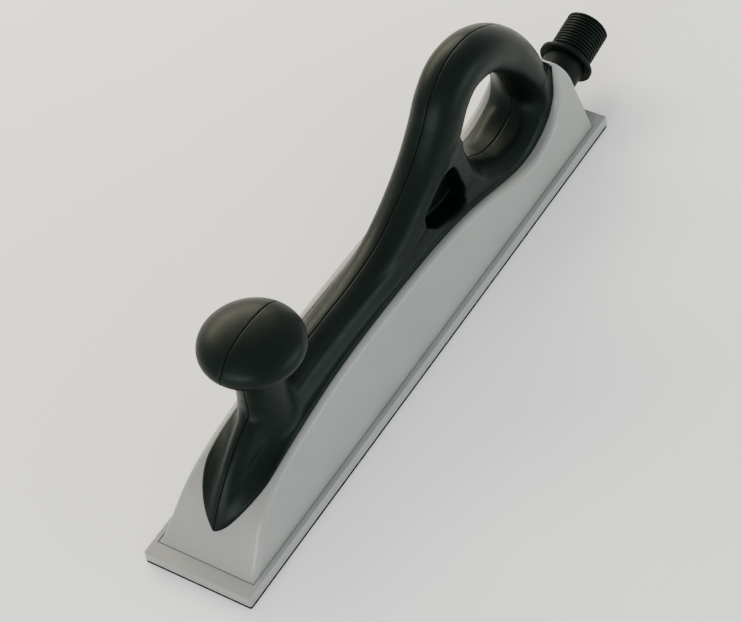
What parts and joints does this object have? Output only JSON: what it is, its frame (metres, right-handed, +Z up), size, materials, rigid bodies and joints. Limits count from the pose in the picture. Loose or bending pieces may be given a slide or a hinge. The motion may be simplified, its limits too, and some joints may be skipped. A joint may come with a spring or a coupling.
{
  "type": "dust-extraction sanding block",
  "caption": "Long hand sanding block with a flat sole, front knob, rear loop handle and swivelling dust hose spigot.",
  "frame": {"origin": "centre of the sanding face, which is the underside of the hook face", "axes": "+Z up from the sanding face, +X along the sole towards the hose outlet, +Y to the right-hand side seen from behind with the outlet towards the viewer"},
  "size_m": [0.4452, 0.07, 0.1401],
  "materials": {
    "grey_plastic": "satin moulded grey with a faint spark-eroded grain",
    "handle_plastic": "charcoal black, fine leather-like moulding grain, satin",
    "outlet_plastic": "dull black moulded",
    "inner_plastic": "black moulded, matt",
    "pad_rubber": "firm black rubber sheet, matt",
    "hook_fabric": "hook tape",
    "seal_rubber": "matt",
    "screw_steel": "zinc plated",
    "clip_steel": "spring steel",
    "insert_brass": "turned and knurled"
  },
  "bodies": {
    "block": {"hook_face": "hook_fabric", "pad": "pad_rubber", "base_plate": "inner_plastic", "plate_seal": "seal_rubber", "plate_screws": "screw_steel", "body_shell": "grey_plastic", "handle_left": "handle_plastic", "handle_right": "handle_plastic", "handle_clamp_screws": "screw_steel", "handle_mount_screws": "screw_steel", "handle_mount_washers": "screw_steel", "handle_mount_inserts": "insert_brass", "outlet_neck": "outlet_plastic", "neck_gasket": "seal_rubber", "neck_locknut": "outlet_plastic"},
    "hose_swivel": {"swivel_spigot": "outlet_plastic", "spigot_o_ring": "seal_rubber", "spigot_clip": "clip_steel"}
  },
  "joints": [
    {"name": "hose_swivel_turn", "type": "hinge", "parent": "block", "child": "hose_swivel", "pos_m": [0.21407, 0, 0.02799], "axis": [0.9863, 0, 0.165], "continuous": true}
  ]
}
